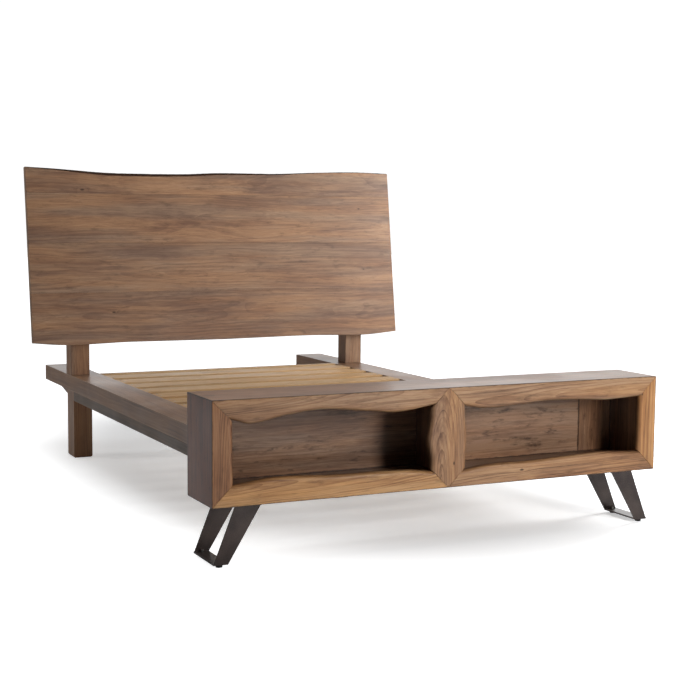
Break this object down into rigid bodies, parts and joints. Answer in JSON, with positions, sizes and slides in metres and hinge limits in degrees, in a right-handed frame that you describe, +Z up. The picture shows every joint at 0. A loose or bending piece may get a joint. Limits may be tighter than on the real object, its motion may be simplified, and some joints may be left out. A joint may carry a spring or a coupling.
{
  "type": "bed frame",
  "caption": "Queen bed frame with a leaning live-edge headboard, long side ledges, a slatted deck and a storage bench with two cubbies on splayed steel legs.",
  "frame": {"origin": "middle of the bed's floor area, on the floor", "axes": "+Z up, +Y from the storage bench at the foot to the headboard, +X to the right seen from the foot"},
  "size_m": [1.97, 2.87, 1.4264],
  "materials": {
    "headboard_wood": "satin lacquered hardwood, dark brown to tan, grain along the planks",
    "face_frame_wood": "satin lacquered hardwood, honey brown, grain along each member",
    "bench_wood": "satin lacquered hardwood, grey brown",
    "ledge_wood": "satin lacquered hardwood, grey brown",
    "apron_wood": "satin lacquered hardwood, dark grey brown",
    "deck_wood": "planed softwood with a thin clear seal",
    "bronzed_steel": "satin dark bronze powder coat",
    "glide_nylon": "matt black nylon",
    "zinc_hardware": "zinc-plated steel"
  },
  "bodies": {
    "bed_frame": {"apron_left": "apron_wood", "apron_right": "apron_wood", "bench_back_end_board": "bench_wood", "bench_back_left": "bench_wood", "bench_back_right": "bench_wood", "bench_bottom": "bench_wood", "bench_divider": "bench_wood", "bench_end_left": "bench_wood", "bench_end_right": "bench_wood", "bench_top": "bench_wood", "centre_beam": "deck_wood", "centre_leg_1": "deck_wood", "centre_leg_2": "deck_wood", "frame_rail_bottom_left": "face_frame_wood", "frame_rail_bottom_right": "face_frame_wood", "frame_rail_top_left": "face_frame_wood", "frame_rail_top_right": "face_frame_wood", "frame_stile_centre": "face_frame_wood", "frame_stile_left": "face_frame_wood", "frame_stile_right": "face_frame_wood", "gusset_left": "ledge_wood", "gusset_right": "ledge_wood", "head_rail": "deck_wood", "headboard_bolt_left_1": "zinc_hardware", "headboard_bolt_left_2": "zinc_hardware", "headboard_bolt_right_1": "zinc_hardware", "headboard_bolt_right_2": "zinc_hardware", "headboard_plank_1": "headboard_wood", "headboard_plank_2": "headboard_wood", "headboard_plank_3": "headboard_wood", "headboard_plank_live_edge": "headboard_wood", "headboard_post_left": "headboard_wood", "headboard_post_right": "headboard_wood", "ledge_left": "ledge_wood", "ledge_right": "ledge_wood", "rail_bolt_left": "zinc_hardware", "rail_bolt_right": "zinc_hardware", "rear_leg_left": "ledge_wood", "rear_leg_right": "ledge_wood", "slat_01": "deck_wood", "slat_02": "deck_wood", "slat_03": "deck_wood", "slat_04": "deck_wood", "slat_05": "deck_wood", "slat_06": "deck_wood", "slat_07": "deck_wood", "slat_08": "deck_wood", "slat_09": "deck_wood", "slat_10": "deck_wood", "slat_11": "deck_wood", "slat_cleat_left": "deck_wood", "slat_cleat_right": "deck_wood", "steel_leg_left": "bronzed_steel", "steel_leg_right": "bronzed_steel", "tie_rod_left": "zinc_hardware", "tie_rod_right": "zinc_hardware"},
    "glide_front_left": {"glide_front_left": "glide_nylon"},
    "glide_front_right": {"glide_front_right": "glide_nylon"},
    "glide_rear_left": {"glide_rear_left": "glide_nylon"},
    "glide_rear_right": {"glide_rear_right": "glide_nylon"}
  },
  "joints": [
    {"name": "glide_front_left_screw", "type": "slide", "parent": "bed_frame", "child": "glide_front_left", "axis": [0, 0, 1], "range_m": [-0.008, 0]},
    {"name": "glide_front_right_screw", "type": "slide", "parent": "bed_frame", "child": "glide_front_right", "axis": [0, 0, 1], "range_m": [-0.008, 0]},
    {"name": "glide_rear_left_screw", "type": "slide", "parent": "bed_frame", "child": "glide_rear_left", "axis": [0, 0, 1], "range_m": [-0.008, 0]},
    {"name": "glide_rear_right_screw", "type": "slide", "parent": "bed_frame", "child": "glide_rear_right", "axis": [0, 0, 1], "range_m": [-0.008, 0]}
  ]
}
